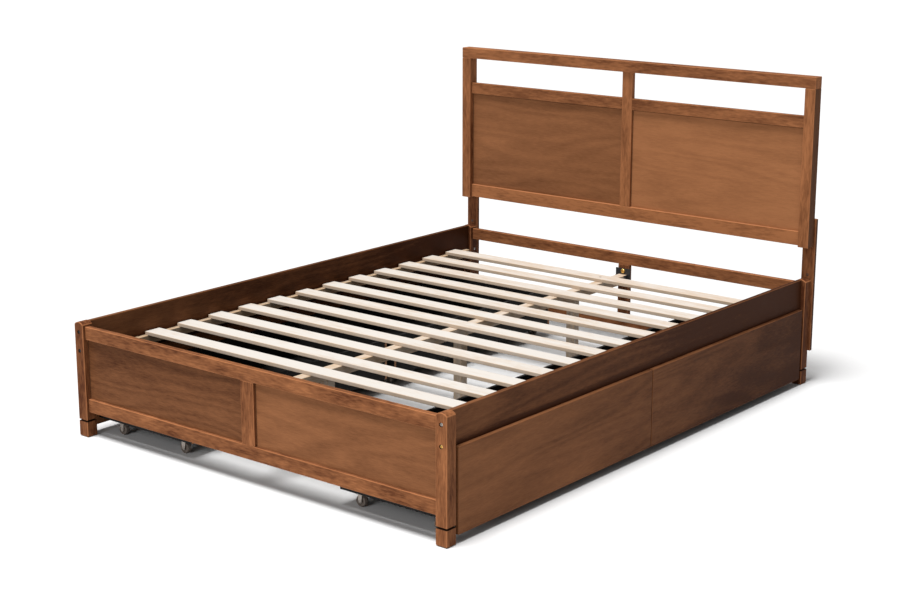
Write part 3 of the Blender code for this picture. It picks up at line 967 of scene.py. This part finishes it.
def build_drawer(side, end, sign):
    """A drawer front, the box behind it and its casters."""
    drawer = f"drawer_{side}_{end}"
    tone = TONES["drawer_front"]
    # The drawer front darkens towards the head with painted shade
    node_board(f"{drawer}_front", "walnut_veneer", "Y", tone, drawer, painted_falloff(SIDE_PAINTED_FALLOFF))
    build_drawer_box(drawer, sign)
    for number in range(1, CASTERS + 1):
        build_caster(drawer, side, end, number)


def build_drawer_box(drawer, sign):
    """Four walls and a floor of black board, without a lid."""
    node = f"{drawer}_box"
    low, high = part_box(node)
    outer = max(abs(low.x), abs(high.x))
    inner = min(abs(low.x), abs(high.x))
    z_span = (BOX_BOTTOM, high.z)
    between = (low.y + WALL + GAP, high.y - WALL - GAP)
    x_span = (sign * inner, sign * outer)
    walls = {
        "foot_wall": (x_span, (low.y, low.y + WALL), z_span, "X"),
        "head_wall": (x_span, (high.y - WALL, high.y), z_span, "X"),
        "inner_wall": ((sign * inner, sign * (inner + WALL)), between, z_span, "Y"),
        "outer_wall": ((sign * (outer - WALL), sign * outer), between, z_span, "Y"),
    }
    for name, (xs, ys, zs, grain) in walls.items():
        ends = corners(xs, ys, zs)
        wall = board(f"{drawer}_{name}", "black_board", *ends, grain, 0.0, drawer, (node,), BOARD_EDGE)
        if name in ("foot_wall", "head_wall"):
            bare_ends(wall)
    floor_x = (sign * (inner + WALL + GAP), sign * (outer - WALL - GAP))
    floor = corners(floor_x, between, (BOX_BOTTOM, BOX_BOTTOM + DRAWER_FLOOR))
    board(f"{drawer}_floor", "black_board", *floor, "Y", 0.0, drawer, (node,), BOARD_EDGE)


def bare_ends(wall):
    """Leaves the end faces of a wall uncoated, with the board's raw plies showing."""
    wall.data.materials.append(LOOKS["plywood_edge"])
    for face in wall.data.polygons:
        if abs(face.normal.x) > FLAT_FACE:
            face.material_index = 1


def cheek_outline(top):
    """A fork cheek seen from the side: wide at the plate, rounded round the axle."""
    half = FORK_LENGTH / 2
    points = [(-half, top), (half, top), (half, top - CHEEK_DROP)]
    for step in range(CHEEK_STEPS + 1):
        angle = math.radians(CHEEK_START + CHEEK_SWEEP * step / CHEEK_STEPS)
        points.append((CHEEK_RADIUS * math.cos(angle), CHEEK_RADIUS * math.sin(angle)))
    return points + [(-half, top - CHEEK_DROP)]


def build_caster(drawer, side, end, number):
    """A fixed fork with its axle, and a wheel of tread and hub."""
    node = f"{drawer}_wheel_{number}"
    low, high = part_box(node)
    centre = (low + high) / 2
    radius = (high.z - low.z) / 2
    half = (high.y - low.y) / 2
    name = f"{drawer}_caster_{number}"
    top = BOX_BOTTOM - GAP
    cheek = half + FORK_CLEAR + SHEET / 2
    sideways = Matrix.Rotation(math.pi / 2, 4, "X")
    outline = cheek_outline(top - SHEET - centre.z)
    for label, offset in (("foot", -cheek), ("head", cheek)):
        place = Matrix.Translation(centre + Vector((0.0, offset, 0.0))) @ sideways
        mesh = prism_mesh(name, outline, place, SHEET, METAL_EDGE)
        show(f"{name}_{label}_cheek", mesh, "zinc_steel", drawer)
    reach = cheek + SHEET / 2
    plate_x = (centre.x - PLATE_LENGTH / 2, centre.x + PLATE_LENGTH / 2)
    plate = corners(plate_x, (centre.y - reach, centre.y + reach), (top - SHEET, top))
    board(f"{name}_plate", "zinc_steel", *plate, "X", 0.0, drawer, (), METAL_EDGE)
    axle = [(AXLE_RADIUS, -reach - AXLE_CROWN), (AXLE_HEAD_RADIUS, -reach - AXLE_HEAD)]
    axle += [(AXLE_HEAD_RADIUS, -reach), (AXLE_RADIUS, -reach)]
    along_y = facing(centre, (0, 1, 0))
    show(f"{name}_axle", turned_mesh(name, mirrored(axle), along_y), "zinc_steel", drawer)
    wheel_body = f"wheel_{side}_{end}_{number}"
    build_wheel(node, name, wheel_body, along_y, radius, half)


def build_wheel(node, name, body, place, radius, half):
    """A tread round a webbed hub, both turned about the axle."""
    rim = radius * RIM_RADIUS
    tread = [(rim, -half * TREAD_WIDTH), (radius * TREAD_SHOULDER, -half * TREAD_WIDTH)]
    tread.append((radius, -half * TREAD_FLAT))
    hub = [(HUB_BORE, -half), (HUB_RADIUS, -half), (HUB_FOOT_RADIUS, -half * WEB_WIDTH)]
    hub += [(rim * WEB_RADIUS, -half * WEB_WIDTH), (rim, -half * RIM_WIDTH)]
    for label, profile in (("tread", tread), ("hub", hub)):
        mesh = ring_mesh(name, mirrored(profile), place, WHEEL_STEPS)
        show(f"{name}_{label}", mesh, "caster_wheel", body, nodes=(node,))


# Room


def build_camera():
    """The camera, off the right-hand corner of the foot end."""
    data = bpy.data.cameras.new("camera")
    data.lens = LENS
    data.sensor_width = SENSOR
    data.clip_end = FLOOR_RADIUS * 2
    camera = bpy.data.objects.new("camera", data)
    camera.location = CAMERA_PLACE
    camera.rotation_euler = (math.pi / 2 + CAMERA_PITCH, 0.0, CAMERA_YAW)
    bpy.context.scene.collection.objects.link(camera)
    bpy.context.scene.camera = camera


def build_floor():
    """A plain pale floor."""
    form = bmesh.new()
    bmesh.ops.create_circle(form, cap_ends=True, segments=FLOOR_SIDES, radius=FLOOR_RADIUS)
    floor = bpy.data.objects.new("floor", to_mesh("floor", form))
    material, _, shader = start_material("pale_floor")
    shader.inputs["Base Color"].default_value = rgba(FLOOR_COLOR)
    shader.inputs["Roughness"].default_value = 0.9
    shader.inputs["Specular IOR Level"].default_value = 0.1
    floor.data.materials.append(material)
    bpy.context.scene.collection.objects.link(floor)


def build_sky():
    """An even sky."""
    world = bpy.data.worlds.new("sky")
    world.use_nodes = True
    background = world.node_tree.nodes["Background"]
    background.inputs["Color"].default_value = rgba(SKY_COLOR)
    background.inputs["Strength"].default_value = SKY_STRENGTH
    bpy.context.scene.world = world


def build_lights():
    """A soft key light from above the foot end, and a large fill in front of it."""
    light = bpy.data.lights.new("key", "SUN")
    light.energy = KEY_STRENGTH
    light.angle = KEY_SPREAD
    key = bpy.data.objects.new("key", light)
    key.rotation_euler = KEY_TURN
    bpy.context.scene.collection.objects.link(key)
    soft = bpy.data.lights.new("fill", "AREA")
    soft.energy = FILL_POWER
    soft.size = FILL_SIZE
    fill = bpy.data.objects.new("fill", soft)
    fill.location = FILL_PLACE
    fill.rotation_euler = (FILL_TARGET - FILL_PLACE).to_track_quat("-Z", "Y").to_euler()
    fill.visible_camera = False
    bpy.context.scene.collection.objects.link(fill)


def build_bed():
    """Every visible piece of the bed."""
    for side, sign in SIDES.items():
        for end in ENDS:
            build_post(side, end)
        build_side_rail(side, sign)
    build_footboard()
    build_head_frame()
    build_slats()
    build_centre_beam()
    build_hanger("foot", -1)
    build_hanger("head", 1)
    build_headboard()
    build_headboard_legs()
    for side, sign in SIDES.items():
        for end in ENDS:
            build_drawer(side, end, sign)


bpy.context.scene.view_settings.view_transform = "Standard"
build_camera()
build_floor()
build_sky()
build_lights()
build_bed()
